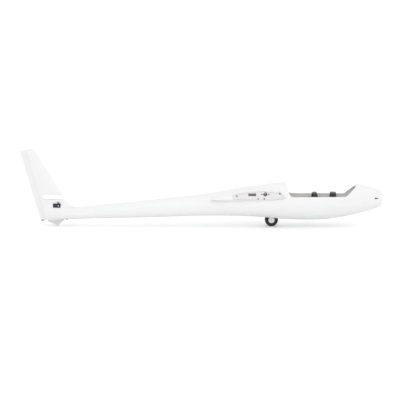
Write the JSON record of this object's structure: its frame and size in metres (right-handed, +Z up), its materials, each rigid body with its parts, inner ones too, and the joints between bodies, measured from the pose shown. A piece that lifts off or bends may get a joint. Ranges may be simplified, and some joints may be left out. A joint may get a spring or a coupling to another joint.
{
  "type": "rc sailplane fuselage unit",
  "caption": "Bare white foam sailplane fuselage with fin, rudder, landing wheel, tail skid, wing root ribs, tail servos and an open battery bay.",
  "frame": {"origin": "centre of the wing joiner bore, on the plane of symmetry", "axes": "+X to the nose, +Y to port along the wing joiner, +Z up"},
  "size_m": [1.1166, 0.092, 0.2439],
  "materials": {
    "white_foam": "moulded bead foam, satin skin",
    "rudder_foam": "moulded bead foam, satin skin",
    "carbon": "pultruded carbon rod",
    "white_plastic": "moulded white plastic",
    "dark_screw": "blackened screw",
    "connector_grey": "moulded connector housing",
    "brass": "plain brass",
    "aluminium_tube": "drawn tube",
    "black_plastic": "moulded black plastic",
    "plywood": "laser cut birch plywood",
    "strap_webbing": "hook and loop webbing",
    "magnet_plating": "nickel plated",
    "grey_plastic": "light grey moulded plastic",
    "steel": "bright steel",
    "hub_plastic": "moulded wheel hub",
    "tyre_rubber": "soft black rubber",
    "nylon": "natural nylon",
    "black_nylon": "black nylon",
    "servo_case_plastic": "black servo case"
  },
  "bodies": {
    "airframe": {"fuselage_right_half": "white_foam", "fuselage_left_half": "white_foam", "boom_stiffener_right": "carbon", "boom_stiffener_left": "carbon", "fin_post_rod": "carbon", "wing_rib_right": "white_plastic", "wing_rib_left": "white_plastic", "rib_screws_right": "dark_screw", "rib_screws_left": "dark_screw", "wing_connector_right": "connector_grey", "wing_connector_left": "connector_grey", "connector_pins_right": "steel", "connector_pins_left": "steel", "wing_joiner_sleeve": "carbon", "motor_mount": "black_plastic", "battery_tray": "plywood", "tray_former_front": "plywood", "tray_former_rear": "plywood", "battery_strap_front": "strap_webbing", "battery_strap_rear": "strap_webbing", "cockpit_bulkhead": "plywood", "hatch_magnets": "magnet_plating", "tail_screw_sleeve": "aluminium_tube", "tail_skid": "grey_plastic", "wheel_fork": "white_plastic", "fork_screws": "dark_screw", "wheel_axle": "steel", "axle_nut": "steel", "axle_spacers": "aluminium_tube", "fin_hinge_leaves": "nylon", "hinge_pins": "steel", "rudder_servo_case": "servo_case_plastic", "elevator_servo_case": "servo_case_plastic"},
    "rudder": {"rudder": "rudder_foam", "rudder_hinge_leaves": "nylon", "rudder_horn": "black_nylon"},
    "rudder_arm": {"rudder_servo_shaft": "brass", "rudder_servo_arm": "black_nylon", "rudder_arm_screw": "steel"},
    "pushrod": {"rudder_pushrod": "steel", "rudder_clevis": "black_nylon"},
    "elevator_arm": {"elevator_servo_shaft": "brass", "elevator_servo_arm": "black_nylon", "elevator_arm_screw": "steel"},
    "wheel": {"wheel_hub": "hub_plastic", "wheel_tyre": "tyre_rubber"}
  },
  "joints": [
    {"name": "rudder_hinge", "type": "hinge", "parent": "airframe", "child": "rudder", "pos_m": [-0.6828, 0, -0.07], "axis": [-0.2639, 0, 0.9646], "range_deg": [-20, 20]},
    {"name": "rudder_arm_turn", "type": "hinge", "parent": "airframe", "child": "rudder_arm", "pos_m": [-0.60017, 0.01425, -0.07643], "axis": [0, 1, 0], "range_deg": [-20, 20]},
    {"name": "pushrod_pivot", "type": "hinge", "parent": "rudder_arm", "child": "pushrod", "pos_m": [-0.60387, 0.01425, -0.06292], "axis": [0, 1, 0], "range_deg": [-20, 20]},
    {"name": "elevator_arm_turn", "type": "hinge", "parent": "airframe", "child": "elevator_arm", "pos_m": [-0.638, -0.00932, -0.0415], "axis": [0, 1, 0], "range_deg": [-35, 35]},
    {"name": "wheel_spin", "type": "hinge", "parent": "airframe", "child": "wheel", "pos_m": [0.022, 0, -0.08682], "axis": [0, 1, 0], "continuous": true}
  ],
  "couplings": [
    {"joint": "rudder_arm_turn", "follows": "rudder_hinge", "ratio": -1},
    {"joint": "pushrod_pivot", "follows": "rudder_hinge", "ratio": 1}
  ]
}
